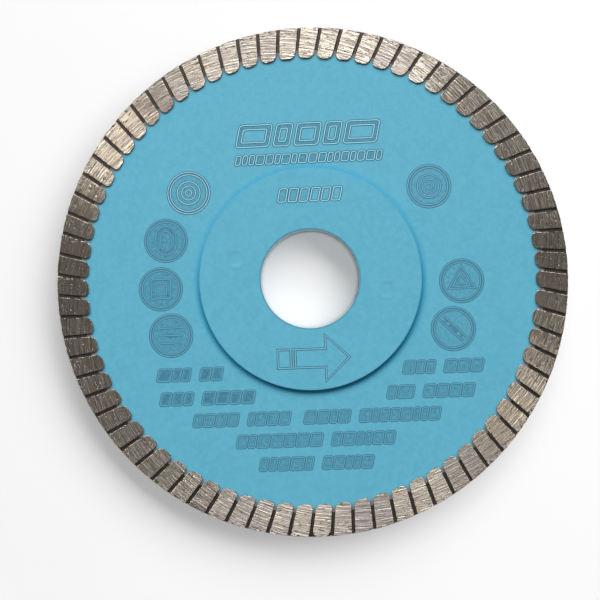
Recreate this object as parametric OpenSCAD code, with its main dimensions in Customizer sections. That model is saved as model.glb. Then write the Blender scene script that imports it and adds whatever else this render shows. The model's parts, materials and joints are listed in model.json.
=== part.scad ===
// Turbo-rim diamond cutting blade for porcelain tile, with welded-on hub flanges.
// Millimetres. The arbor axis is Y, the front face looks along -Y and Z is up.
// The origin is the centre of the arbor bore, half way through the blade.

/* [Blade] */
// Outside diameter over the diamond rim
blade_d = 115; // [100:1:180]
// Diameter of the arbor bore
bore_d = 22.23; // [16:0.01:25.4]
// Thickness of the steel core
core_t = 1.4; // [1.2:0.1:2.4]

/* [Hub flanges] */
// Diameter of the reinforcing flange on each side
flange_d = 50; // [44:1:60]
// Thickness of one reinforcing flange
flange_t = 0.9; // [0.6:0.05:1.2]
// Chamfer on the outer edge of a flange
flange_chamfer = 0.1; // [0.05:0.05:0.3]

/* [Spot welds] */
// Distance of a spot weld from the arbor axis
weld_r = 17.4; // [15:0.1:19]
// Angle of the left spot weld, counter-clockwise from the right as seen from the front
weld_left_a = 165; // [120:1:240]
// Angle of the right spot weld, measured in the same way
weld_right_a = 352; // [300:1:400]
// Diameter of the mark that the electrode leaves in a flange
dimple_d = 3.4; // [2:0.1:4.5]
// Depth of that mark
dimple_depth = 0.12; // [0.05:0.01:0.2]
// Diameter of the weld nugget between a flange and the core
nugget_d = 3; // [2:0.1:4]
// Thickness of the weld nugget, half of it in the flange and half in the core
nugget_t = 0.5; // [0.2:0.1:0.6]

/* [Rim] */
// Height of the solid matrix ring around the core
web_h = 5.25; // [4:0.05:8]
// Height of a land, from its round inner end to the cutting edge
land_h = 7.2; // [6:0.1:10]
// How far a land stands proud of the core's face
land_t = 0.4; // [0.2:0.05:0.8]
// Number of lands on each side
land_count = 75; // [40:1:90]
// Width of the groove between two lands
groove_w = 0.78; // [0.5:0.01:1.2]
// Lean of the grooves from the radial direction, the outer end clockwise
groove_skew = 8.7; // [0:0.1:15]
// Angle of the first groove at the middle of the rim
first_groove_a = 1.8; // [0:0.1:4.8]
// Corner radius at the inner end of a land
land_corner_r = 1.15; // [0.6:0.05:1.4]

/* [Keyed joint between core and rim] */
// Thickness of the tongue around the core's edge
tongue_t = 0.7; // [0.5:0.05:0.9]
// How far the tongue reaches into the matrix ring
tongue_h = 1.5; // [1:0.1:2]
// Number of keying notches in the tongue
notch_count = 25; // [12:1:36]
// Radius of a keying notch
notch_r = 0.8; // [0.5:0.1:0.9]

/* [Hidden] */

outer_r = blade_d / 2;
core_r = outer_r - web_h;
tongue_r = core_r + tongue_h;
land_inner_r = outer_r - land_h;
groove_mid_r = outer_r - land_h / 2;
land_pitch_a = 360 / land_count;
cut_through = 0.1;      // how far a cutting solid runs past the face it cuts
corner_steps = 6;       // straight pieces in the arc at a land's inner corner
edge_steps = 6;         // straight pieces in the arc along a land's cutting edge
$fn = 180;

paint_blue = [0.37, 0.68, 0.80];
weld_grey = [0.45, 0.46, 0.48];
matrix_brown = [0.25, 0.23, 0.22];
land_champagne = [0.68, 0.63, 0.57];

// Every piece is drawn lying flat, front face up, and then stood on its rim.
module stand_up() rotate([90, 0, 0]) children();

// The back of the blade is drawn on the front and mirrored through the middle plane.
module on_back() mirror([0, 0, 1]) children();

// Moves a child from the arbor axis to the centre of a spot weld.
module at_weld(angle) rotate([0, 0, angle]) translate([weld_r, 0, 0]) children();

// Solid nugget, centred on the joint between the core's front face and its flange.
module nugget(angle) {
    at_weld(angle) translate([0, 0, core_t / 2]) cylinder(d = nugget_d, h = nugget_t, center = true);
}

module front_nuggets() {
    nugget(weld_left_a);
    nugget(weld_right_a);
}

// Round plate that reaches into the matrix ring, with round notches in its edge.
module keyed_tongue() {
    difference() {
        cylinder(r = tongue_r, h = tongue_t, center = true);
        for (i = [0 : notch_count - 1])
            rotate([0, 0, i * 360 / notch_count])
                translate([tongue_r, 0, 0])
                    cylinder(r = notch_r, h = tongue_t + 2 * cut_through, center = true, $fn = 24);
    }
}

// Reinforcing flange on the front of the core, with its electrode marks.
module hub_flange() {
    difference() {
        rotate_extrude() polygon([
            [bore_d / 2, core_t / 2],
            [flange_d / 2, core_t / 2],
            [flange_d / 2, core_t / 2 + flange_t - flange_chamfer],
            [flange_d / 2 - flange_chamfer, core_t / 2 + flange_t],
            [bore_d / 2, core_t / 2 + flange_t]]);
        front_nuggets();
        for (angle = [weld_left_a, weld_right_a])
            at_weld(angle)
                translate([0, 0, core_t / 2 + flange_t - dimple_depth])
                    cylinder(d = dimple_d, h = dimple_depth + cut_through);
    }
}

// Direction of a groove that crosses the middle of the rim at angle a.
function along_groove(a) = [cos(a - groove_skew), sin(a - groove_skew)];

// Direction square to that groove, counter-clockwise.
function across_groove(a) = [-sin(a - groove_skew), cos(a - groove_skew)];

// Point at radius r on the line beside that groove, offset across it.
function beside_groove(a, offset, r) =
    let (start = groove_mid_r * [cos(a), sin(a)] + offset * across_groove(a),
         run = start * along_groove(a))
    start + (sqrt(run * run - start * start + r * r) - run) * along_groove(a);

// Angle of a point about the arbor axis.
function angle_of(p) = atan2(p[1], p[0]);

// Rounded inner corner beside a groove; side is 1 for the land that follows the groove
// counter-clockwise and -1 for the land before it. Runs from the side to the inner end.
function inner_corner(a, side) =
    let (centre = beside_groove(a, side * (groove_w / 2 + land_corner_r), land_inner_r + land_corner_r),
         from = angle_of(-side * across_groove(a)),
         turn = (angle_of(-centre) - from + 540) % 360 - 180)
    [for (i = [0 : corner_steps])
        centre + land_corner_r * [cos(from + turn * i / corner_steps), sin(from + turn * i / corner_steps)]];

// Arc of the cutting edge between two points on the outside circle.
function cutting_edge(p, q) =
    [for (i = [0 : edge_steps])
        let (a = angle_of(p) + (angle_of(q) - angle_of(p)) * i / edge_steps)
        outer_r * [cos(a), sin(a)]];

function reversed(list) = [for (i = [len(list) - 1 : -1 : 0]) list[i]];

// Outline of the land that lies across the +X axis, between two grooves.
function land_outline() = concat(
    cutting_edge(beside_groove(-land_pitch_a / 2, groove_w / 2, outer_r),
                 beside_groove(land_pitch_a / 2, -groove_w / 2, outer_r)),
    inner_corner(land_pitch_a / 2, -1),
    reversed(inner_corner(-land_pitch_a / 2, 1)));

// Ring of lands on the core's front face; shift turns the ring by a part of a pitch.
module lands(shift) {
    for (i = [0 : land_count - 1])
        rotate([0, 0, first_groove_a + (i + 0.5 + shift) * land_pitch_a])
            translate([0, 0, core_t / 2])
                linear_extrude(land_t) polygon(land_outline());
}

module steel_core() {
    color(paint_blue) stand_up() difference() {
        union() {
            cylinder(r = core_r, h = core_t, center = true);
            keyed_tongue();
        }
        cylinder(d = bore_d, h = core_t + 2 * cut_through, center = true);
        front_nuggets();
        on_back() front_nuggets();
    }
}

module front_hub_flange() {
    color(paint_blue) stand_up() hub_flange();
}

module rear_hub_flange() {
    color(paint_blue) stand_up() on_back() hub_flange();
}

module front_left_weld_nugget() {
    color(weld_grey) stand_up() nugget(weld_left_a);
}

module front_right_weld_nugget() {
    color(weld_grey) stand_up() nugget(weld_right_a);
}

module rear_left_weld_nugget() {
    color(weld_grey) stand_up() on_back() nugget(weld_left_a);
}

module rear_right_weld_nugget() {
    color(weld_grey) stand_up() on_back() nugget(weld_right_a);
}

module rim_matrix_ring() {
    color(matrix_brown) stand_up() difference() {
        cylinder(r = outer_r, h = core_t, center = true);
        cylinder(r = core_r, h = core_t + 2 * cut_through, center = true);
        keyed_tongue();
    }
}

module front_lands() {
    color(land_champagne) stand_up() lands(0);
}

module rear_lands() {
    color(land_champagne) stand_up() on_back() lands(0.5);
}

steel_core();
front_hub_flange();
rear_hub_flange();
front_left_weld_nugget();
front_right_weld_nugget();
rear_left_weld_nugget();
rear_right_weld_nugget();
rim_matrix_ring();
front_lands();
rear_lands();
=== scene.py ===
"""Looks of a turbo-rim diamond blade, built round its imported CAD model.

Lengths are in metres, except in the materials and where a comment gives millimetres.

The arbor axis is Y, the front face looks along -Y and Z is up. Angles about the axis run
counter-clockwise from +X as seen from the front.
"""

import math
import random

import bmesh
import bpy
import numpy as np
from mathutils import Matrix, Vector
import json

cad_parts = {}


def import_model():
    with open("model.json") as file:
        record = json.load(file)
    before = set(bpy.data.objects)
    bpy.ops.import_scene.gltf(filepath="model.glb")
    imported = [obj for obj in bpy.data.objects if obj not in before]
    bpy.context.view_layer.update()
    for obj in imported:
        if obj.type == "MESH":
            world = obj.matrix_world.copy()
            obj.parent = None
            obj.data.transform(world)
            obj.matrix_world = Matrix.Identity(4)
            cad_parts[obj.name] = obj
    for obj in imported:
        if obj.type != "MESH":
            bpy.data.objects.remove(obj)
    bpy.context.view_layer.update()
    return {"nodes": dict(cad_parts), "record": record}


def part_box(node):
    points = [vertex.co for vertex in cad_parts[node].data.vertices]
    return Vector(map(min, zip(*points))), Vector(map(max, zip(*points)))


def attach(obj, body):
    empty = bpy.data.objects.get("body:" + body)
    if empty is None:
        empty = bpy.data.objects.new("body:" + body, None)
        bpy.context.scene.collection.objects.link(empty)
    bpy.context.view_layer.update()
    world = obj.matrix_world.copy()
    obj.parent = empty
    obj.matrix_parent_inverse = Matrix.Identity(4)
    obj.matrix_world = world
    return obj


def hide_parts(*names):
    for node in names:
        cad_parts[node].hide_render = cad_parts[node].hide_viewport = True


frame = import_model()

MM = 0.001
FRONT, REAR = -1, 1

# ---------------------------------------------------------------- sizes read from the frame


def mount_radius(name):
    """Wall radius of one of the record's round mounts."""
    mount = next(m for m in frame["record"]["mounts"] if m["name"] == name)
    return mount["dims"]["r_mm"] * MM


def least_radius(node):
    """Distance from the arbor axis to the nearest point of a CAD node."""
    return min(math.hypot(v.co.x, v.co.z) for v in frame["nodes"][node].data.vertices)


def node_centre(node):
    low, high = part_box(node)
    return (low + high) / 2


BORE_R = mount_radius("arbor_bore")
RIM_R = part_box("rim_matrix_ring")[1].x
RING_H = 5.25 * MM            # height of the matrix ring that shows around the core
CORE_R = RIM_R - RING_H
CORE_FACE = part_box("rim_matrix_ring")[1].y
FLANGE_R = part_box("front_hub_flange")[1].x
FLANGE_FACE = -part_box("front_hub_flange")[0].y
LAND_FACE = -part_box("front_lands")[0].y
LAND_INNER_R = least_radius("front_lands")
WELDS = [node_centre("front_left_weld_nugget"), node_centre("front_right_weld_nugget")]

# ---------------------------------------------------------------- the rim's own design

LAND_COUNT = 75
LAND_PITCH = math.tau / LAND_COUNT
GROOVE_W = 0.78 * MM
GROOVE_SKEW = math.radians(8.7)
FIRST_GROOVE = math.radians(1.8)
LAND_CORNER_R = 1.15 * MM
GROOVE_MID_R = (RIM_R + LAND_INNER_R) / 2
GRIT_PROUD = 0.05 * MM      # the grit stands this far out of the ground faces
EDGE_R = RIM_R - GRIT_PROUD  # matrix at the cutting edge, so the grit ends at the CAD radius
LAND_TOP = LAND_FACE - 0.02 * MM
HUB_TOP = FLANGE_FACE - 0.03 * MM   # leaves room for the marks on it


# ---------------------------------------------------------------- making pieces


def add_piece(name, verts, faces, materials, stands_for=(), face_materials=None, crease=35):
    """A mesh piece on the root body: outward normals, smooth up to the crease angle."""
    mesh = bpy.data.meshes.new(name)
    mesh.from_pydata([tuple(v) for v in verts], [], [tuple(f) for f in faces])
    for material in materials:
        mesh.materials.append(material)
    if face_materials is not None:
        mesh.polygons.foreach_set("material_index", face_materials)
    shaped = bmesh.new()
    shaped.from_mesh(mesh)
    bmesh.ops.recalc_face_normals(shaped, faces=shaped.faces)
    shaped.to_mesh(mesh)
    shaped.free()
    mesh.polygons.foreach_set("use_smooth", [True] * len(mesh.polygons))
    mesh.set_sharp_from_angle(angle=math.radians(crease))
    piece = bpy.data.objects.new(name, mesh)
    bpy.context.scene.collection.objects.link(piece)
    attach(piece, "root")
    if stands_for:
        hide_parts(*stands_for)
    return piece


def add_values(piece, name, values):
    """One number per vertex, which a material reads by name."""
    layer = piece.data.attributes.new(name, "FLOAT", "POINT")
    layer.data.foreach_set("value", values)


def loop_faces(rings):
    """Quads between neighbouring closed rings of vertex numbers."""
    faces = []
    for low, high in zip(rings, rings[1:]):
        count = len(low)
        for i in range(count):
            j = (i + 1) % count
            faces.append((low[i], low[j], high[j], high[i]))
    return faces


def lathe(profile, segments):
    """Vertices and quads of a closed (radius, y) profile turned about the arbor axis."""
    angles = np.linspace(0, math.tau, segments, endpoint=False)
    profile = np.array(profile)
    radius = profile[:, 0][:, None]
    verts = np.stack([
        radius * np.cos(angles),
        np.repeat(profile[:, 1][:, None], segments, axis=1),
        radius * np.sin(angles)], axis=-1).reshape(-1, 3)
    rings = [[k * segments + i for i in range(segments)] for k in range(len(profile))]
    return verts, loop_faces(rings + rings[:1])


# ---------------------------------------------------------------- materials


class Nodes:
    """Short names for building one material's node tree."""

    def __init__(self, name):
        self.material = bpy.data.materials.new(name)
        self.material.use_nodes = True
        self.tree = self.material.node_tree
        self.shader = self.tree.nodes["Principled BSDF"]

    def add(self, kind, inputs=(), **settings):
        node = self.tree.nodes.new("ShaderNode" + kind)
        for key, value in settings.items():
            setattr(node, key, value)
        for socket, value in dict(inputs).items():
            self.put(node.inputs[socket], value)
        return node

    def put(self, socket, value):
        if isinstance(value, bpy.types.NodeSocket):
            self.tree.links.new(value, socket)
        else:
            socket.default_value = value

    def set(self, **inputs):
        """Shader inputs by name, with _ for a space."""
        for name, value in inputs.items():
            self.put(self.shader.inputs[name.replace("_", " ")], value)

    def math(self, operation, *values, clamp=False):
        node = self.add("Math", enumerate(values), operation=operation, use_clamp=clamp)
        return node.outputs[0]

    def vector(self, operation, *values):
        node = self.add("VectorMath", enumerate(values), operation=operation)
        return node.outputs["Value" if operation in ("LENGTH", "DOT_PRODUCT") else "Vector"]

    def combine(self, x, y, z):
        return self.add("CombineXYZ", enumerate((x, y, z))).outputs[0]

    def mix(self, factor, first, second):
        node = self.add("Mix", data_type="RGBA")
        for index, value in ((0, factor), (6, first), (7, second)):
            self.put(node.inputs[index], value)
        return node.outputs[2]

    def noise(self, vector, scale, detail=2.0, rough=0.5):
        node = self.add("TexNoise", {"Vector": vector, "Scale": scale, "Detail": detail,
                                     "Roughness": rough})
        return node.outputs[0]

    def step(self, value, low, high):
        """0 below low, 1 above high and smooth between."""
        node = self.add("MapRange", {"Value": value, "From Min": low, "From Max": high},
                        interpolation_type="SMOOTHSTEP")
        return node.outputs[0]

    def past(self, radius, edge_r, start, end):
        """A step from start to end millimetres past edge_r, which is in metres; radius is in mm."""
        return self.step(radius, edge_r / MM + start, edge_r / MM + end)

    def spread(self, value, low, high):
        """A 0 to 1 value stretched over low to high."""
        return self.add("MapRange", {"Value": value, "To Min": low, "To Max": high}).outputs[0]

    def attribute(self, name):
        return self.add("Attribute", attribute_name=name).outputs["Fac"]

    def bump(self, height, distance, strength=1.0, normal=None):
        inputs = {"Height": height, "Distance": distance, "Strength": strength}
        if normal is not None:
            inputs["Normal"] = normal
        return self.add("Bump", inputs).outputs[0]

    def place(self):
        """Position in millimetres, and its radius, angle and arc length about the arbor axis."""
        position = self.add("TexCoord").outputs["Object"]
        millimetres = self.vector("SCALE", position)
        millimetres.node.inputs["Scale"].default_value = 1 / MM
        split = self.add("SeparateXYZ", {0: millimetres})
        x, _, z = split.outputs
        radius = self.math("SQRT", self.math("ADD", self.math("MULTIPLY", x, x),
                                             self.math("MULTIPLY", z, z)))
        angle = self.math("ARCTAN2", z, x)
        arc = self.math("MULTIPLY", angle, GROOVE_MID_R / MM)
        return millimetres, radius, angle, arc


DEEP_BLUE, PALE_BLUE = (0.092, 0.382, 0.532, 1), (0.114, 0.438, 0.603, 1)
MOTTLE_BLUE = (0.122, 0.446, 0.605, 1)
SPECK_BLUE, DUST_GREY = (0.060, 0.240, 0.360, 1), (0.26, 0.44, 0.50, 1)
FLANGE_SHADOW_BLUE = (0.0, 0.290, 0.510, 1)      # painted shadow at the foot of a flange: it deepens the flange's cast shadow, most in the lower half
FLANGE_EDGE_SHADE_BLUE = (0.050, 0.270, 0.400, 1)    # painted shade on a flange's outer edge, all round
BORE_EDGE_SHADE_BLUE = (0.030, 0.170, 0.270, 1)   # painted shade round the bore's edge
RIM_STEEL, BORE_STEEL = (0.185, 0.205, 0.210, 1), (0.46, 0.59, 0.64, 1)


def blue_paint():
    """Satin sky-blue paint with a faint mottle, bare steel in the bore and dull steel by the rim, with
    painted shade at the foot and edge of each flange and round the bore.
    """
    n = Nodes("blue_paint")
    place, radius, angle, _ = n.place()
    clouds = n.noise(place, 0.11, 3.0, 0.6)
    mottle = n.noise(place, 0.9, 3.0, 0.65)
    grain = n.noise(place, 6.0, 2.0, 0.6)
    base = n.mix(n.spread(clouds, 0.1, 0.9), DEEP_BLUE, PALE_BLUE)
    base = n.mix(n.step(mottle, 0.30, 0.75), base, MOTTLE_BLUE)
    specks = n.step(n.noise(place, 2.6, 2.0, 0.5), 0.69, 0.76)
    base = n.mix(n.math("MULTIPLY", specks, 0.35), base, SPECK_BLUE)
    dust = n.step(n.noise(place, 3.9, 2.0, 0.5), 0.715, 0.78)
    base = n.mix(n.math("MULTIPLY", dust, 0.45), base, DUST_GREY)
    beyond_flange = n.math("LESS_THAN", FLANGE_R / MM, radius)
    # Painted shadow: a deeper blue ring just past each flange, strongest in the lower half, adds to the
    # flange's real cast shadow there.
    foot = n.spread(n.past(radius, FLANGE_R, 0.2, 1.7), 0.8, 0.0)
    lower = n.spread(n.step(n.math("SINE", angle), -0.5, 0.5), 1.0, 0.5)
    painted_flange_shadow = n.math("MULTIPLY", foot, lower)
    base = n.mix(n.math("MULTIPLY", beyond_flange, painted_flange_shadow), base, FLANGE_SHADOW_BLUE)
    # Painted shade: the flange's outer edge is coloured a darker blue all round.
    painted_edge_shade = n.math("MULTIPLY", n.past(radius, FLANGE_R, -0.3, -0.1), 0.35)
    painted_edge_shade = n.math("MULTIPLY", n.math("SUBTRACT", 1.0, beyond_flange), painted_edge_shade)
    base = n.mix(painted_edge_shade, base, FLANGE_EDGE_SHADE_BLUE)
    # Painted shade: a dark blue ring round the bore's edge, where that edge would be shaded.
    painted_bore_shade = n.spread(n.past(radius, BORE_R, 0.05, 0.5), 0.6, 0.0)
    base = n.mix(painted_bore_shade, base, BORE_EDGE_SHADE_BLUE)
    ragged = n.math("ADD", radius, n.spread(mottle, -0.5, 0.5))
    base = n.mix(n.past(ragged, LAND_INNER_R, 0.15, 1.5), base, RIM_STEEL)
    bore = n.math("LESS_THAN", radius, BORE_R / MM + 0.02)
    base = n.mix(bore, base, BORE_STEEL)
    rough = n.spread(mottle, 0.40, 0.50)
    peel = n.noise(place, 1.5, 2.0, 0.5)
    normal = n.bump(peel, 0.018 * MM, 0.8)
    normal = n.bump(grain, 0.004 * MM, 0.6, normal)
    n.set(Base_Color=base, Roughness=rough, Metallic=n.math("MULTIPLY", bore, 0.9),
          Specular_IOR_Level=0.35, Normal=normal)
    return n.material


SCRATCH_LEAN = math.radians(9)      # the grinding lines climb outwards, counter-clockwise
LINE_SCALES = ((0.16, 3.1), (0.27, 5.8), (0.5, 11.5))   # noise scales along and across the lines
LINE_WANDER = 1.2                   # how far, in radians, a line's gloss turns with its noise
LINE_SHIFT, PORE_SHIFT = 91.0, 57.0     # how far apart two lands can take their lines and pores


def scratch_pattern(n, arc, radius, seed):
    """Coarse, middling and fine grinding lines, different on each land."""
    across = n.math("SUBTRACT", radius, n.math("MULTIPLY", arc, math.tan(SCRATCH_LEAN)))
    shift = n.math("MULTIPLY", seed, LINE_SHIFT)
    layers = []
    for along_scale, across_scale in LINE_SCALES:
        place = n.combine(n.math("MULTIPLY", arc, along_scale),
                          n.math("MULTIPLY", across, across_scale), shift)
        layers.append(n.noise(place, 1.0, 2.0, 0.55))
    return layers


GOLD_LIGHT, GREY_LIGHT = (0.72, 0.639, 0.513, 1), (0.70, 0.649, 0.574, 1)
GOLD_SHADE = (0.49, 0.415, 0.350, 1)
DULL_SHADE, DULL_LIGHT = (0.33, 0.284, 0.266, 1), (0.56, 0.500, 0.482, 1)
PIT_BROWN = (0.050, 0.042, 0.036, 1)


def ground_matrix():
    """Warm grey sintered metal, ground round the axis, with open pores and land to land changes."""
    n = Nodes("ground_matrix")
    place, radius, angle, arc = n.place()
    tone, seed, turn = (n.attribute(a) for a in ("tone", "seed", "turn"))
    coarse, middle, fine = scratch_pattern(n, arc, radius, seed)
    lines = n.math("ADD", n.math("MULTIPLY", coarse, 0.46), n.math("MULTIPLY", middle, 0.36))
    lines = n.math("ADD", lines, n.math("MULTIPLY", fine, 0.18))
    bright = n.step(lines, 0.40, 0.585)
    patches = n.noise(n.vector("ADD", place, n.combine(0, seed, 0)), 0.45, 2.0, 0.5)
    light = n.mix(n.step(patches, 0.35, 0.65), GOLD_LIGHT, GREY_LIGHT)
    base = n.mix(bright, GOLD_SHADE, light)
    dull = n.mix(bright, DULL_SHADE, DULL_LIGHT)
    base = n.mix(n.math("ADD", tone, n.spread(patches, -0.5, 0.5), clamp=True), base, dull)
    cracks = n.noise(n.combine(n.math("MULTIPLY", arc, 0.9), n.math("MULTIPLY", radius, 4.0),
                               n.math("MULTIPLY", seed, PORE_SHIFT)), 1.0, 3.0, 0.55)
    near_edge = n.step(radius, GROOVE_MID_R / MM, RIM_R / MM)
    pits = n.step(n.math("ADD", cracks, n.math("MULTIPLY", near_edge, 0.04)), 0.632, 0.668)
    base = n.mix(pits, base, PIT_BROWN)
    rough = n.math("ADD", n.spread(bright, 0.50, 0.28), n.math("MULTIPLY", pits, 0.2))
    metal = n.math("SUBTRACT", 1.0, n.math("MULTIPLY", pits, 0.7))
    normal = n.bump(coarse, 0.18 * MM, 1.0)
    normal = n.bump(lines, 0.07 * MM, 0.7, normal)
    normal = n.bump(n.math("SUBTRACT", 1.0, pits), 0.05 * MM, 0.6, normal)
    wander = n.math("MULTIPLY", n.math("SUBTRACT", middle, 0.5), LINE_WANDER)
    along = n.math("SUBTRACT", n.math("ADD", angle, wander), turn)
    across_lines = n.combine(n.math("COSINE", along), 0.0, n.math("SINE", along))
    n.set(Base_Color=base, Roughness=rough, Metallic=metal, Anisotropic=1.0, Normal=normal,
          Tangent=across_lines)
    return n.material


GROOVE_SLOPE = 0.153                # arc that a groove crosses for each unit of radius
CAST_DARK, CAST_LIGHT = (0.050, 0.043, 0.038, 1), (0.150, 0.128, 0.112, 1)
CAST_GRAIN = (0.20, 0.175, 0.155, 1)


def sintered_matrix():
    """Dark brown-grey matrix as it leaves the mould, streaked along the grooves."""
    n = Nodes("sintered_matrix")
    place, radius, _, arc = n.place()
    across = n.math("ADD", arc, n.math("MULTIPLY", radius, GROOVE_SLOPE))
    streaks = n.noise(n.combine(n.math("MULTIPLY", across, 6.0), n.math("MULTIPLY", radius, 0.5), 0.0),
                      1.0, 3.0, 0.6)
    grain = n.noise(place, 7.0, 3.0, 0.6)
    base = n.mix(n.step(streaks, 0.3, 0.7), CAST_DARK, CAST_LIGHT)
    base = n.mix(n.step(grain, 0.52, 0.72), base, CAST_GRAIN)
    normal = n.bump(streaks, 0.03 * MM, 0.5)
    normal = n.bump(grain, 0.02 * MM, 0.6, normal)
    n.set(Base_Color=base, Roughness=n.spread(grain, 0.36, 0.50), Metallic=0.92, Normal=normal)
    return n.material


CRYSTAL_DARK, CRYSTAL_PALE = (0.30, 0.29, 0.20, 1), (0.78, 0.76, 0.58, 1)


def diamond_grit():
    """Small pale yellow-green crystals."""
    n = Nodes("diamond_grit")
    place = n.place()[0]
    base = n.mix(n.noise(place, 1.3, 2.0, 0.5), CRYSTAL_DARK, CRYSTAL_PALE)
    n.set(Base_Color=base, Roughness=0.12, IOR=2.4)
    return n.material


FAINT_METAL = (0.095, 0.325, 0.450, 1)
METAL_DARK, METAL_PALE = (0.26, 0.62, 0.80, 1), (0.60, 0.90, 0.98, 1)
FAINT_SCORCH, DEEP_SCORCH = (0.036, 0.205, 0.320, 1), (0.010, 0.090, 0.150, 1)
SCORCH_GRAIN = (0.045, 0.190, 0.290, 1)
PAINT_BESIDE = (0.110, 0.416, 0.571, 1)


def laser_mark():
    """Bare metal in the middle of an engraved line and scorched paint at its sides."""
    n = Nodes("laser_mark")
    place = n.place()[0]
    side, shine = n.attribute("side"), n.attribute("shine")
    grain = n.noise(place, 5.0, 3.0, 0.6)
    smudge = n.noise(place, 1.5, 2.0, 0.6)
    metal = n.mix(shine, FAINT_METAL, n.mix(grain, METAL_DARK, METAL_PALE))
    scorch = n.mix(shine, FAINT_SCORCH, DEEP_SCORCH)
    scorch = n.mix(grain, scorch, SCORCH_GRAIN)
    base = n.mix(n.step(side, 0.13, 0.33), metal, scorch)
    paint = n.step(n.math("ADD", side, n.spread(smudge, -0.16, 0.16)), 0.56, 1.0)
    base = n.mix(paint, base, PAINT_BESIDE)
    n.set(Base_Color=base, Roughness=0.5, Metallic=0.0, Specular_IOR_Level=0.3,
          Normal=n.bump(grain, 0.008 * MM, 0.7))
    return n.material


# ---------------------------------------------------------------- hub flanges

FLANGE_EDGE_R, FLANGE_EDGE_STEPS = 0.06 * MM, 5
BORE_BREAK = 0.07 * MM
FLANGE_SEGMENTS, FLANGE_FACE_STEP = 540, 0.3 * MM
DIMPLE_R = 1.7 * MM
DIMPLE_DEPTH = 0.06 * MM
DIMPLE_LIP = 0.012 * MM
WARP = 0.008 * MM


def flange_height(x, z):
    """Relief of a flange's outer face: electrode marks with a low lip, and a trace of warp."""
    relief = WARP * np.sin(x / (7 * MM) + 1.0) * np.sin(z / (9 * MM))
    for weld in WELDS:
        away = np.hypot(x - weld.x, z - weld.z) / DIMPLE_R
        relief -= DIMPLE_DEPTH * np.clip(1 - away ** 4, 0, 1)
        relief += DIMPLE_LIP * np.exp(-((away - 1.22) / 0.16) ** 2)
    return relief


def hub_flange(name, side):
    """Reinforcing flange with rounded edges and its two electrode marks."""
    top = HUB_TOP
    profile = [(BORE_R, CORE_FACE), (BORE_R, top - BORE_BREAK), (BORE_R + BORE_BREAK, top)]
    first_face = len(profile)
    face_radii = np.arange(BORE_R + 0.35 * MM, FLANGE_R - FLANGE_EDGE_R - 0.1 * MM, FLANGE_FACE_STEP)
    profile += [(r, top) for r in face_radii]
    last_face = len(profile)
    for i in range(FLANGE_EDGE_STEPS + 1):
        a = math.radians(90 - 90 * i / FLANGE_EDGE_STEPS)
        profile.append((FLANGE_R - FLANGE_EDGE_R * (1 - math.cos(a)),
                        top - FLANGE_EDGE_R * (1 - math.sin(a))))
    profile.append((FLANGE_R, CORE_FACE))
    verts, faces = lathe(profile, FLANGE_SEGMENTS)
    face = slice(first_face * FLANGE_SEGMENTS, last_face * FLANGE_SEGMENTS)
    verts[face, 1] += flange_height(verts[face, 0], verts[face, 2])
    verts[:, 1] *= side
    return add_piece(name, verts, faces, [PAINT], [name])


# ---------------------------------------------------------------- rim


RING_SEGMENTS = 20 * LAND_COUNT


def matrix_ring():
    """Sintered ring: the floor of every groove, and the middle of the cutting edge."""
    half = CORE_FACE
    profile = [(CORE_R, -half), (CORE_R, half)]
    profile += [(r, half) for r in np.linspace(CORE_R, EDGE_R, 8)[1:]]
    profile += [(EDGE_R, y) for y in np.linspace(half, -half, 9)[1:]]
    profile += [(r, -half) for r in np.linspace(EDGE_R, CORE_R, 8)[1:-1]]
    verts, faces = lathe(profile, RING_SEGMENTS)
    return add_piece("rim_matrix_ring_cast", verts, faces, [SINTERED],
                     ["rim_matrix_ring"])


BEVEL = 0.03 * MM
OUTER_CORNER_RADII = (0.12 * MM, 0.16 * MM, 0.22 * MM, 0.34 * MM)
ROUNDED_LAND, ROUNDED_CORNER_R = 56, 1.4 * MM      # one front land has lost its outer corners
# Where the ground matrix is duller: angle and half width in degrees, strength.
DULL_STRETCHES = (
    (70, 4, 0.5), (102, 4, 0.55), (128, 8, 0.38), (251, 12, 0.5), (283, 8, 0.65), (310, 8, 0.45),
    (338, 8, 0.3))
INNER_ROWS, MIDDLE_ROWS, OUTER_ROWS = 6, 27, 4      # of a land's grid: by its two ends, and between
COLUMNS = 24
CHIP_REACH = 0.8 * MM       # how far in from the cutting edge a chip draws the grid
WEAR = 0.02 * MM            # how much lower the worn places of a land's edge lie
LINE_RELIEF = 0.0028 * MM   # height of one of the waves that make up the grinding lines


def groove_angle(radius, offset):
    """Angle, from where the groove crosses the rim's middle, of a line beside the groove."""
    along = np.array([math.cos(GROOVE_SKEW), -math.sin(GROOVE_SKEW)])
    across = np.array([math.sin(GROOVE_SKEW), math.cos(GROOVE_SKEW)])
    start = np.array([GROOVE_MID_R, 0.0]) + offset[:, None] * across
    run = start @ along
    step = np.sqrt(run ** 2 - (start ** 2).sum(1) + radius ** 2) - run
    point = start + step[:, None] * along
    return np.arctan2(point[:, 1], point[:, 0])


def land_rows(inset, inner_r, inner_corner, outer_corner):
    """Radius of each row of a land's grid, and how far its ends stand in from the sides."""
    turn = np.linspace(0, math.pi / 2, INNER_ROWS + 1)
    corner = inner_corner - inset
    inner = inner_r + inner_corner - corner * np.cos(turn)
    inner_in = inner_corner - corner * np.sin(turn)
    turn = np.linspace(0, math.pi / 2, OUTER_ROWS + 1)
    corner = outer_corner - inset
    outer = EDGE_R - outer_corner + corner * np.sin(turn)
    outer_in = outer_corner - corner * np.cos(turn)
    middle = np.linspace(inner[-1], outer[0], MIDDLE_ROWS + 1)[1:-1]
    radius = np.concatenate([inner, middle, outer])
    shrink = np.concatenate([inner_in, np.full(len(middle), inset), outer_in])
    return radius, shrink


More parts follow.
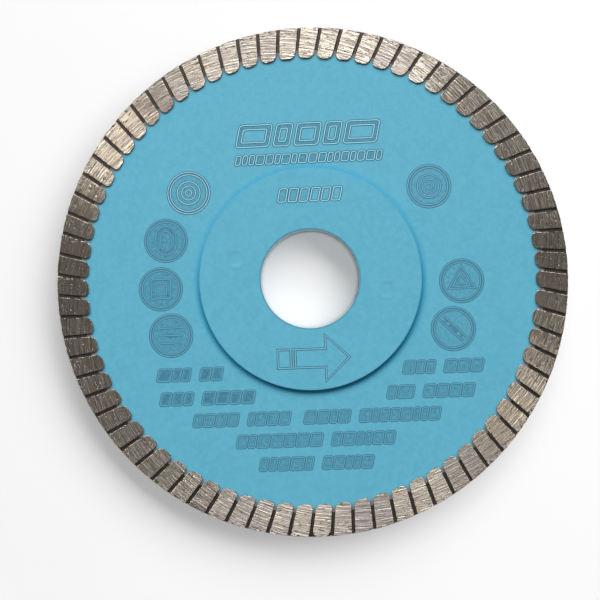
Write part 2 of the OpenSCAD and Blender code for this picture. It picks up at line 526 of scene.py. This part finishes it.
def land_chips(rng):
    """How far each column of a land falls short of the cutting edge, where grit has broken away."""
    share = np.linspace(0, 1, COLUMNS + 1)
    short = np.zeros(COLUMNS + 1)
    for _ in range(rng.randint(2, 5)):
        depth = rng.uniform(0.06, 0.28) * MM
        away = (share - rng.random()) / rng.uniform(0.04, 0.10)
        short += depth * np.exp(-away ** 2)
    return short


def land_grid(inset, centre, widen, chips, *ends):
    """Grid over a land: the x, z, arc and radius of each of its rows and columns."""
    radius, shrink = land_rows(inset, *ends)
    offset = GROOVE_W / 2 + shrink - widen
    right = groove_angle(radius, offset) - LAND_PITCH / 2
    left = groove_angle(radius, -offset) + LAND_PITCH / 2
    share = np.linspace(0, 1, COLUMNS + 1)
    angle = right[:, None] + (left - right)[:, None] * share
    radius = np.repeat(radius[:, None], COLUMNS + 1, axis=1)
    radius -= chips * np.clip((radius - EDGE_R + CHIP_REACH) / CHIP_REACH, 0, 1) ** 2
    return (radius * np.cos(angle + centre), radius * np.sin(angle + centre),
            angle * GROOVE_MID_R, radius)


def land_relief(arc, radius, rng):
    """Grinding lines and open pores in one land's face."""
    relief = np.zeros_like(arc)
    for _ in range(9):
        waves = rng.uniform(0.5, 2.6) / MM
        drift = rng.uniform(-0.10, 0.30) * waves / 2.6
        relief += rng.uniform(0.5, 1.0) * np.sin(
            math.tau * (waves * radius + drift * arc + rng.random()))
    relief *= LINE_RELIEF
    for _ in range(rng.randint(2, 6)):
        at_arc = rng.uniform(-1.7, 1.7) * MM
        at_radius = rng.uniform(LAND_INNER_R + 0.5 * MM, EDGE_R)
        size = rng.uniform(0.12, 0.28) * MM
        away = np.hypot((arc - at_arc) / (1.5 * size), (radius - at_radius) / size)
        relief -= rng.uniform(0.02, 0.06) * MM * np.exp(-away ** 2)
    return relief


def border(grid_rows, columns):
    """Row and column of each vertex round the edge of a grid, in order."""
    last_row, last_column = grid_rows - 1, columns - 1
    return ([(0, c) for c in range(last_column)] + [(r, last_column) for r in range(last_row)]
            + [(last_row, c) for c in range(last_column, 0, -1)]
            + [(r, 0) for r in range(last_row, 0, -1)])


def land(side, centre, outer_corner, rng):
    """Vertices, faces and face materials of one land, as a closed solid."""
    inner_r = LAND_INNER_R + rng.uniform(0, 0.10) * MM
    inner_corner = LAND_CORNER_R * (1.0 + 0.06 * math.sin(centre) + rng.uniform(-0.05, 0.05))
    widen = rng.uniform(-0.03, 0.03) * MM
    top = LAND_TOP - rng.uniform(0, 0.02) * MM
    shape = (centre, widen, land_chips(rng), inner_r, inner_corner, outer_corner)
    x, z, arc, radius = land_grid(BEVEL, *shape)
    rows, columns = x.shape
    height = top + land_relief(arc, radius, rng)
    height += rng.uniform(-0.006, 0.006) * arc
    height += rng.uniform(-0.003, 0.003) * (radius - GROOVE_MID_R)
    verts = [np.stack([x, side * height, z], axis=-1).reshape(-1, 3)]
    edge = border(rows, columns)
    edge_rows, edge_columns = np.array(edge).T
    count = rows * columns
    rings = [[r * columns + c for r, c in edge]]
    worn = WEAR * np.clip([rng.gauss(0, 1) for _ in edge], 0, 2.5)
    brow = height[edge_rows, edge_columns] - worn
    foot = np.full(len(edge), CORE_FACE)
    for inset, y in ((BEVEL * 0.3, brow - BEVEL * 0.3), (0, brow - BEVEL), (0, foot)):
        x, z, _, _ = land_grid(inset, *shape)
        ring = np.stack([x[edge_rows, edge_columns], side * y, z[edge_rows, edge_columns]], axis=-1)
        verts.append(ring)
        rings.append([count + i for i in range(len(edge))])
        count += len(edge)
    corners = [r * columns + c for r in range(rows - 1) for c in range(columns - 1)]
    top_faces = [(v, v + 1, v + columns + 1, v + columns) for v in corners]
    ring_faces = loop_faces(rings)
    cutting = [r == rows - 1 for r, c in edge]
    materials = [0] * (len(top_faces) + 2 * len(edge))
    materials += [0 if cut else 1 for cut in cutting] + [1]
    return np.concatenate(verts), top_faces + ring_faces + [rings[-1]], materials


def dullness(angle):
    """How dull the matrix is at an angle in degrees; 0 is not at all."""
    total = 0.0
    for middle, half, strength in DULL_STRETCHES:
        away = (angle - middle + 180) % 360 - 180
        total += strength * math.exp(-(away / half) ** 2)
    return total


def lands(name, side, shift, seed):
    """One side's ring of lands, with the numbers that make each of them a little different."""
    rng = random.Random(seed)
    verts, faces, face_materials = [], [], []
    tone, land_seed, turn = [], [], []
    start = 0
    for i in range(LAND_COUNT):
        centre = FIRST_GROOVE + (i + 0.5 + shift) * LAND_PITCH
        worn = side == FRONT and i == ROUNDED_LAND
        corner = ROUNDED_CORNER_R if worn else rng.choice(OUTER_CORNER_RADII)
        land_verts, land_faces, land_materials = land(side, centre, corner, rng)
        verts.append(land_verts)
        faces += [tuple(start + v for v in face) for face in land_faces]
        face_materials += land_materials
        start += len(land_verts)
        land_tone = max(0.0, dullness(math.degrees(centre)) + rng.uniform(-0.15, 0.2))
        tone += [land_tone] * len(land_verts)
        land_seed += [rng.random()] * len(land_verts)
        turn += [SCRATCH_LEAN + math.radians(rng.gauss(0, 3))] * len(land_verts)
    piece = add_piece(name + "_ground", np.concatenate(verts), faces, [GROUND, SINTERED],
                      [name], face_materials)
    add_values(piece, "tone", tone)
    add_values(piece, "seed", land_seed)
    add_values(piece, "turn", turn)
    return piece


# ---------------------------------------------------------------- diamond grit

EDGE_CRYSTALS = 900
CRYSTAL_SIZES = (0.14 * MM, 0.26 * MM)
CRYSTAL_CORNERS = [Vector(c) for c in (
    (1, 1, 0), (1, -1, 0), (-1, 1, 0), (-1, -1, 0), (1, 0, 1), (1, 0, -1),
    (-1, 0, 1), (-1, 0, -1), (0, 1, 1), (0, 1, -1), (0, -1, 1), (0, -1, -1))]
CRYSTAL_SPAN = 2.83         # between opposite corners


def crystal_faces():
    """Faces of the hull of CRYSTAL_CORNERS: six squares and eight triangles."""
    faces = []
    for towards in ((1, 0, 0), (-1, 0, 0), (0, 1, 0), (0, -1, 0), (0, 0, 1), (0, 0, -1)):
        direction = Vector(towards)
        ring = [i for i, c in enumerate(CRYSTAL_CORNERS) if c.dot(direction) == 1]
        u = direction.orthogonal()
        v = direction.cross(u)
        ring.sort(key=lambda i: math.atan2(CRYSTAL_CORNERS[i].dot(v), CRYSTAL_CORNERS[i].dot(u)))
        faces.append(ring)
    for sx in (1, -1):
        for sy in (1, -1):
            for sz in (1, -1):
                corners = ((sx, sy, 0), (sx, 0, sz), (0, sy, sz))
                faces.append([CRYSTAL_CORNERS.index(Vector(c)) for c in corners])
    return faces


def crystal(at, size, rng):
    """Corners of one crystal, turned at random."""
    first = Matrix.Rotation(rng.uniform(0, math.tau), 3, "X")
    turn = first @ Matrix.Rotation(rng.uniform(0, math.tau), 3, "Z")
    return [at + turn @ (corner * size / CRYSTAL_SPAN) for corner in CRYSTAL_CORNERS]


def grit(name, seed):
    """Crystals that break the surface of both faces and of the cutting edge."""
    rng = random.Random(seed)
    pattern = crystal_faces()
    verts, faces = [], []

    def place(at, size):
        start = len(verts)
        verts.extend(crystal(at, size, rng))
        faces.extend([[start + i for i in face] for face in pattern])

    for side, shift in ((FRONT, 0.0), (REAR, 0.5)):
        for i in range(LAND_COUNT):
            centre = FIRST_GROOVE + (i + 0.5 + shift) * LAND_PITCH
            for _ in range(rng.randint(4, 8)):
                radius = rng.uniform(LAND_INNER_R + 0.6 * MM, EDGE_R - 0.2 * MM)
                lean = -math.tan(GROOVE_SKEW) * (radius - GROOVE_MID_R)
                angle = centre + (rng.uniform(-1.5, 1.5) * MM + lean) / radius
                size = rng.uniform(*CRYSTAL_SIZES)
                height = side * (LAND_TOP + 0.015 * MM - size * 0.36)
                place(Vector((radius * math.cos(angle), height, radius * math.sin(angle))), size)
    for _ in range(EDGE_CRYSTALS):
        angle = rng.uniform(0, math.tau)
        size = rng.uniform(*CRYSTAL_SIZES)
        radius = RIM_R - size / 2
        height = rng.uniform(-0.9, 0.9) * LAND_FACE
        place(Vector((radius * math.cos(angle), height, radius * math.sin(angle))), size)
    return add_piece(name, verts, faces, [GRIT], crease=10)


# ---------------------------------------------------------------- engraved marks

MARK_TURN = math.radians(2)     # the marks stand a little turned on the blade
LINE_W = 0.74 * MM
BLOCK_LEAN = 0.22               # sideways lean of the plain blocks, as a share of their height
# Scorched areas: how far from a line's middle they count as, and their height as a share of a line's.
DARK_FILL, MIDDLE_FILL, PALE_FILL = 0.72, 0.80, 0.86
FILL_FLATNESS = 0.25
FAINT = 0.15                    # how bright the metal shows in the lower and fainter marks
# Across an engraved line: share of its width, height in millimetres and distance from its middle.
LINE_PROFILE = (
    (-0.5, 0.001, 1.0), (-0.36, 0.010, 0.72), (-0.2, 0.024, 0.4), (0.0, 0.018, 0.0), (0.2, 0.024, 0.4),
    (0.36, 0.010, 0.72), (0.5, 0.001, 1.0), (0.5, -0.02, 1.0), (-0.5, -0.02, 1.0))


def arc_points(cx, cz, radius, start, end, steps):
    """Points along an arc in the plane of the face; angles in degrees."""
    angles = [math.radians(start + (end - start) * i / steps) for i in range(steps + 1)]
    return [(cx + radius * math.cos(a), cz + radius * math.sin(a)) for a in angles]


def rounded_box(cx, cz, width, height, radius):
    """Closed outline of a rounded box."""
    points = []
    for sx, sz, start in ((1, 1, 0), (-1, 1, 90), (-1, -1, 180), (1, -1, 270)):
        corner_x = cx + sx * (width / 2 - radius)
        corner_z = cz + sz * (height / 2 - radius)
        points += arc_points(corner_x, corner_z, radius, start, start + 90, 3)
    return points


def leaning_box(cx, cz, width, height, radius):
    """Closed outline of a rounded box whose upright sides lean."""
    return [(x + BLOCK_LEAN * (z - cz), z) for x, z in rounded_box(cx, cz, width, height, radius)]


def circle(cx, cz, radius):
    return arc_points(cx, cz, radius, 0, 360, 48)[:-1]


def triangle(cx, cz, radius):
    return arc_points(cx, cz, radius, 90, 450, 3)[:-1]


class Engraving:
    """Collects lines cut into one face, and makes them one piece."""

    def __init__(self, face, side=FRONT):
        self.face, self.side = face, side
        self.verts, self.faces, self.values, self.shines = [], [], [], []

    def line(self, points, closed=True, width=LINE_W, fill=None, shine=1.0):
        """An engraved line, or with fill, a flat scorched band of that one tone."""
        flat = FILL_FLATNESS if fill else 1.0
        turned = [Vector((self.side * -x * math.cos(MARK_TURN) - z * math.sin(MARK_TURN),
                          self.side * -x * math.sin(MARK_TURN) + z * math.cos(MARK_TURN)))
                  for x, z in points]
        count = len(turned)
        rings = []
        for i, point in enumerate(turned):
            before = turned[i - 1] if closed or i else point
            after = turned[(i + 1) % count] if closed or i < count - 1 else point
            run_in = (point - before).normalized() if before != point else None
            run_out = (after - point).normalized() if after != point else None
            run = ((run_in or run_out) + (run_out or run_in)).normalized()
            across = Vector((-run.y, run.x))
            mitre = 1 / max(0.5, run.dot(run_out or run_in))
            ring = []
            for offset, height, value in LINE_PROFILE:
                spot = point + across * offset * width * mitre
                ring.append(len(self.verts))
                self.verts.append((spot.x, self.side * (self.face + height * flat * MM), spot.y))
                self.values.append(fill or value)
                self.shines.append(shine)
            rings.append(ring)
        if closed:
            self.faces += loop_faces(rings + rings[:1])
        else:
            self.faces += loop_faces(rings) + [rings[0], rings[-1]]

    def finish(self, name):
        piece = add_piece(name, self.verts, self.faces, [MARK])
        add_values(piece, "side", self.values)
        add_values(piece, "shine", self.shines)
        return piece


WORD_BLOCKS = (1.3, 1.9, 2.3, 2.3)      # widths in mm that a row of plain blocks draws from


def block_row(marks, cx, cz, width, height, rng, widths=WORD_BLOCKS, gap=0.5, fill=MIDDLE_FILL,
              shine=FAINT):
    """A row of plain outlined blocks of different widths, centred on cx; lengths in mm."""
    blocks = []
    while sum(blocks) + gap * len(blocks) < width - max(widths) / 2:
        blocks.append(rng.choice(widths))
    stretch = (width - gap * (len(blocks) - 1)) / sum(blocks)
    left = cx - width / 2
    for block in blocks:
        block *= stretch
        middle = (left + block / 2) * MM
        marks.line(leaning_box(middle, cz * MM, block * MM, height * MM, 0.35 * MM), shine=shine)
        reach = 0.5 * height - 0.1
        lean = BLOCK_LEAN * reach * MM
        marks.line([(middle - lean, (cz - reach) * MM), (middle + lean, (cz + reach) * MM)],
                   closed=False, width=(block - 0.2) * MM, fill=fill)
        left += block + gap


ROUNDEL_R = 33.9                # in mm, from the arbor axis to a roundel's middle
# Angle, shape, tone of the scorched disc and brightness of the lines.
ROUNDELS = ((142.6, "rings", PALE_FILL, 0.8), (163, "capsule", MIDDLE_FILL, FAINT),
            (181.8, "square", MIDDLE_FILL, FAINT), (200.1, "bars", MIDDLE_FILL, FAINT),
            (35.9, "rings", PALE_FILL, 0.3), (-2.9, "triangle", PALE_FILL, FAINT),
            (-21.4, "slash", PALE_FILL, FAINT))


def roundel(marks, angle, kind, tone, shine):
    """Ring round a scorched disc with a plain dark shape in it."""
    cx = ROUNDEL_R * math.cos(math.radians(angle)) * MM
    cz = ROUNDEL_R * math.sin(math.radians(angle)) * MM

    def nested(outline, sizes):
        for size in sizes:
            marks.line(outline(size * MM), shine=shine)

    marks.line(circle(cx, cz, 2.4 * MM), width=4.7 * MM, fill=tone)
    nested(lambda r: circle(cx, cz, r), (4.75, 4.2))
    if kind == "rings":
        nested(lambda r: circle(cx, cz, r), (2.6, 1.6, 0.7))
    elif kind == "capsule":
        body = rounded_box(cx, cz, 3.4 * MM, 5.2 * MM, 1.6 * MM)
        marks.line(body, width=1.8 * MM, fill=DARK_FILL)
        nested(lambda r: rounded_box(cx, cz, 2 * r, 2 * r + 2.0 * MM, r), (2.3, 1.2))
    elif kind == "bars":
        for shift in (-1.7, 0, 1.7):
            bar = [(cx - 2.4 * MM, cz + shift * MM), (cx + 2.4 * MM, cz + shift * MM)]
            marks.line(bar, closed=False, width=1.3 * MM, fill=DARK_FILL)
            marks.line(bar, closed=False, shine=shine)
    elif kind == "square":
        body = rounded_box(cx, cz, 3.4 * MM, 3.4 * MM, 0.4 * MM)
        marks.line(body, width=1.5 * MM, fill=DARK_FILL)
        nested(lambda r: rounded_box(cx, cz, 2 * r, 2 * r, 0.4 * MM), (2.2, 1.3))
    elif kind == "triangle":
        marks.line(triangle(cx, cz, 2.3 * MM), width=1.4 * MM, fill=DARK_FILL)
        nested(lambda r: triangle(cx, cz, r), (3.3, 1.4))
    elif kind == "slash":
        marks.line([(cx + a * 2.5 * MM, cz - a * 2.5 * MM) for a in (-1, 1)], closed=False,
                   width=1.9 * MM, fill=DARK_FILL)
        for shift in (-0.45, 0.45):
            ends = [(cx + (a * 2.5 + shift) * MM, cz + (-a * 2.5 + shift) * MM) for a in (-1, 1)]
            marks.line(ends, closed=False, shine=shine)


# The arrow's outline and the three bars that cross its shaft, in mm.
ARROW = (
    (-7.8, -15.8), (2.9, -15.8), (2.9, -12.8), (8.2, -17.8), (2.9, -23.0), (2.9, -19.9),
    (-7.8, -19.9))
ARROW_BARS, ARROW_BAR_ENDS = (-4.9, -4.4, -3.9), (-15.9, -19.8)
ARROW_SHINE = 0.45


def arrow(marks):
    """Outlined arrow that says which way the blade turns, with a block at its tail."""
    marks.line([(x * MM, z * MM) for x, z in ARROW], shine=ARROW_SHINE)
    for x in ARROW_BARS:
        marks.line([(x * MM, z * MM) for z in ARROW_BAR_ENDS], closed=False, shine=ARROW_SHINE)


# Height on the face, then the middle and width of each group of blocks, in mm.
WORD_ROWS = (
    (-20.6, ((-27.8, 14.5), (29.0, 17.5))),
    (-26.0, ((-24.0, 21.0), (26.0, 19.0))),
    (-31.0, ((-16.4, 21.5), (12.8, 30.0))),
    (-36.0, ((0.0, 35.0),)),
    (-41.2, ((0.0, 25.0),)))
FAINTER_BELOW = -28             # the groups below this height, and those on the right, are paler
WORD_GAP, WORD_H = 1.2, 2.7     # between the two rows of blocks in a group, and their height, in mm

BIG_BLOCKS = (7.4, 3.6, 5.4, 3.6, 7.4)      # widths, in mm, of the blocks in the biggest row
BIG_BLOCKS_LEFT, BIG_BLOCKS_GAP = -15.3, 1.1
BIG_BLOCKS_Z = 33.0 * MM


def engrave():
    """All the marks: generic shapes in the places of the words and signs of a real blade."""
    rng = random.Random(22)
    core = Engraving(CORE_FACE)
    left = BIG_BLOCKS_LEFT
    for width in BIG_BLOCKS:
        cx = left + width / 2
        core.line(leaning_box(cx * MM, BIG_BLOCKS_Z, (width - 1.0) * MM, 4.0 * MM, 0.4 * MM),
                  width=1.5 * MM, fill=MIDDLE_FILL)
        core.line(leaning_box(cx * MM, BIG_BLOCKS_Z, width * MM, 5.0 * MM, 0.6 * MM))
        core.line(leaning_box(cx * MM, BIG_BLOCKS_Z, (width - 2.0) * MM, 3.0 * MM, 0.3 * MM))
        left += width + BIG_BLOCKS_GAP
    block_row(core, 0.6, 27.5, 33.0, 2.1, rng, widths=(1.0, 1.5, 1.7), shine=0.9)
    for z, groups in WORD_ROWS:
        for cx, width in groups:
            first = rng.uniform(0.35, 0.6) * width
            second = width - first
            tone = DARK_FILL if z > FAINTER_BELOW and cx < 0 else MIDDLE_FILL
            block_row(core, cx - (second + WORD_GAP) / 2, z, first - WORD_GAP, WORD_H, rng, fill=tone)
            block_row(core, cx + (first + WORD_GAP) / 2, z, second - WORD_GAP, WORD_H, rng, fill=tone)
    for settings in ROUNDELS:
        roundel(core, *settings)
    core.finish("core_marks")
    hub = Engraving(HUB_TOP)
    block_row(hub, 0.6, 19.0, 14.0, 3.0, rng, widths=(1.9, 2.0), gap=0.6, fill=PALE_FILL, shine=1.0)
    arrow(hub)
    hub.finish("front_hub_marks")
    back = Engraving(HUB_TOP, REAR)
    arrow(back)
    back.finish("rear_hub_marks")


# ---------------------------------------------------------------- stage, lights and camera

STAGE_GAP = 3.6 * MM        # between the blade's hub and the pale surface behind it
STAGE_W = 0.32
STAGE_FADE = (90, 150)      # in mm from the axis: the surface thins out to nothing between these
# It is open behind the blade, where it would stand dark in the side views: its inner part ends
# between the first two radii, and its outer part starts between the last two.
STAGE_HOLE = (16, 20, 50, 56)
WORLD_SEEN = 1.0            # what the camera sees past the stage
WORLD_LIGHT = 0.16          # what lights the blade and the stage from all round


def stage_material():
    """Matt white that only shows from its front, casts no shadow and fades outwards."""
    n = Nodes("stage_white")
    place, radius, _, _ = n.place()
    base = n.mix(n.noise(place, 0.02, 2.0, 0.5), (0.80, 0.80, 0.80, 1), (0.82, 0.82, 0.82, 1))
    n.set(Base_Color=base, Roughness=0.9, Specular_IOR_Level=0.0)
    light_path = n.add("LightPath")
    behind = n.add("NewGeometry").outputs["Backfacing"]
    clear = n.math("MAXIMUM", light_path.outputs["Is Shadow Ray"], behind)
    clear = n.math("MAXIMUM", clear, n.step(radius, *STAGE_FADE))
    hole = n.math("SUBTRACT", n.step(radius, *STAGE_HOLE[:2]), n.step(radius, *STAGE_HOLE[2:]))
    clear = n.math("MAXIMUM", clear, hole)
    see_through = n.add("BsdfTransparent").outputs[0]
    mixed = n.add("MixShader", {0: clear, 1: n.shader.outputs[0], 2: see_through}).outputs[0]
    n.put(n.tree.nodes["Material Output"].inputs["Surface"], mixed)
    return n.material


def stage():
    """Pale surface behind the blade, which faces the same way as the blade's front."""
    y = FLANGE_FACE + STAGE_GAP
    half = STAGE_W / 2
    mesh = bpy.data.meshes.new("stage")
    corners = [(-half, y, -half), (half, y, -half), (half, y, half), (-half, y, half)]
    mesh.from_pydata(corners, [], [(0, 1, 2, 3)])
    mesh.materials.append(stage_material())
    surface = bpy.data.objects.new("stage", mesh)
    bpy.context.scene.collection.objects.link(surface)
    return surface


def softbox(name, turn, lean, distance, width, height, radiance, side=FRONT):
    """Area light that faces the blade, turned about the arbor axis and leaning away from it."""
    turn, lean = math.radians(turn), math.radians(lean)
    outward = Vector((math.cos(turn), 0, math.sin(turn)))
    away = outward * math.sin(lean) + Vector((0, side * math.cos(lean), 0))
    across = Vector((-math.sin(turn), 0, math.cos(turn)))
    light = bpy.data.lights.new(name, "AREA")
    light.shape = "RECTANGLE"
    light.size, light.size_y = width, height
    light.energy = radiance * math.pi * width * height
    lamp = bpy.data.objects.new(name, light)
    aim = Matrix((across, away.cross(across), away)).transposed().to_4x4()
    lamp.matrix_world = Matrix.Translation(away * distance) @ aim
    lamp.visible_camera = False
    bpy.context.scene.collection.objects.link(lamp)
    return lamp


def first_hit_only(lamp):
    """The lamp's light ends on the first surface that it meets, and doesn't bounce on from there."""
    lamp.data.use_nodes = True
    tree = lamp.data.node_tree
    bounces = tree.nodes.new("ShaderNodeLightPath").outputs["Diffuse Depth"]
    strength = tree.nodes.new("ShaderNodeMath")
    strength.operation = "LESS_THAN"
    strength.inputs[1].default_value = 0.5
    tree.links.new(bounces, strength.inputs[0])
    tree.links.new(strength.outputs[0], tree.nodes["Emission"].inputs["Strength"])


def light_only(lamps, objects, kept):
    """Lamps light only these objects, or all but these."""
    for lamp in lamps:
        linked = bpy.data.collections.new(lamp.name + "_linking")
        for item in objects:
            linked.objects.link(item)
        for entry in linked.collection_objects:
            entry.light_linking.link_state = "INCLUDE" if kept else "EXCLUDE"
        lamp.light_linking.receiver_collection = linked


def world():
    """White to the camera and dim grey to everything else."""
    shade = bpy.data.worlds.new("studio")
    shade.use_nodes = True
    tree = shade.node_tree
    strength = tree.nodes.new("ShaderNodeMapRange")
    strength.inputs["To Min"].default_value = WORLD_LIGHT
    strength.inputs["To Max"].default_value = WORLD_SEEN
    seen = tree.nodes.new("ShaderNodeLightPath").outputs["Is Camera Ray"]
    tree.links.new(seen, strength.inputs["Value"])
    background = tree.nodes["Background"]
    background.inputs["Color"].default_value = (1, 1, 1, 1)
    tree.links.new(strength.outputs[0], background.inputs["Strength"])
    bpy.context.scene.world = shade


WHITE, WARM = (1.0, 1.0, 1.0), (1.0, 0.95, 0.87)
# Softboxes in an arc over the blade: angle about the axis and half width in degrees, radiance, colour.
PANELS = (
    (30, 14, 0.85, WHITE), (46, 4, 1.5, WHITE), (65, 10, 6.7, WHITE), (84, 9, 8.5, WHITE),
    (108, 10, 7.5, WHITE), (136.5, 9, 7.6, WARM))
PANEL_LEAN, PANEL_HALF_LEAN = 56, 16        # angle from the axis, and half height in degrees
PANEL_DISTANCE = 3.2
STAGE_LAMP_DISTANCE = 1.4

VIEW_TILT = 4.1                 # degrees between the camera's axis and the arbor axis
VIEW_SIDE = -51.5               # angle about the axis, in degrees, of the side that the camera is on
VIEW_DISTANCE = 0.243
VIEW_OFFSET = (2.32 * MM, 4.73 * MM)    # of the blade's centre from the middle of the frame
LENS_MM, SENSOR_MM = 64.58, 36


def lights(surface):
    """Panels and a weak fill for each side of the blade, and two lamps that light only the stage."""
    world()
    blade_lamps = []
    ring_r = PANEL_DISTANCE * math.sin(math.radians(PANEL_LEAN))
    height = 2 * PANEL_DISTANCE * math.tan(math.radians(PANEL_HALF_LEAN))
    for side, word in ((FRONT, "front"), (REAR, "rear")):
        for i, (turn, half, radiance, colour) in enumerate(PANELS):
            width = 2 * ring_r * math.tan(math.radians(half))
            lamp = softbox(f"{word}_panel_{i}", turn, PANEL_LEAN, PANEL_DISTANCE, width, height,
                           radiance, side)
            lamp.data.color = colour
            blade_lamps.append(lamp)
        blade_lamps.append(softbox(word + "_fill", 270, 30, 1.6, 1.6, 1.6, 0.05, side))
    for lamp in blade_lamps:
        if lamp.name.startswith("rear"):
            first_hit_only(lamp)
    light_only(blade_lamps, [surface], False)
    stage_key = softbox("stage_key", 50, 50, STAGE_LAMP_DISTANCE, 2.4, 1.0, 4.02)
    stage_front = softbox("stage_front", VIEW_SIDE, VIEW_TILT, STAGE_LAMP_DISTANCE, 0.25, 0.25, 39.0)
    light_only([stage_key, stage_front], [surface], True)


def camera():
    """Nearly square on to the blade's front, from a little below and to the right of it."""
    data = bpy.data.cameras.new("camera")
    data.lens, data.sensor_width = LENS_MM, SENSOR_MM
    data.clip_start, data.clip_end = 0.01, 10
    tilt, side = math.radians(VIEW_TILT), math.radians(VIEW_SIDE)
    axis = Vector((-math.sin(tilt) * math.cos(side), math.cos(tilt), -math.sin(tilt) * math.sin(side)))
    turn = axis.to_track_quat("-Z", "Y")
    right, up = turn @ Vector((1, 0, 0)), turn @ Vector((0, 1, 0))
    cam = bpy.data.objects.new("camera", data)
    cam.rotation_euler = turn.to_euler()
    cam.location = -VIEW_DISTANCE * axis - VIEW_OFFSET[0] * right - VIEW_OFFSET[1] * up
    bpy.context.scene.collection.objects.link(cam)
    bpy.context.scene.camera = cam


# ---------------------------------------------------------------- the blade

camera()
lights(stage())

PAINT = blue_paint()
GROUND = ground_matrix()
SINTERED = sintered_matrix()
GRIT = diamond_grit()
MARK = laser_mark()

for node_name in ("steel_core", "front_left_weld_nugget", "front_right_weld_nugget",
                  "rear_left_weld_nugget", "rear_right_weld_nugget"):
    node = frame["nodes"][node_name]
    node.data.materials.clear()
    node.data.materials.append(PAINT if node_name == "steel_core" else SINTERED)

hub_flange("front_hub_flange", FRONT)
hub_flange("rear_hub_flange", REAR)
matrix_ring()
lands("front_lands", FRONT, 0.0, 7)
lands("rear_lands", REAR, 0.5, 8)
grit("diamond_grit", 9)
engrave()

bpy.context.scene.view_settings.view_transform = "Standard"
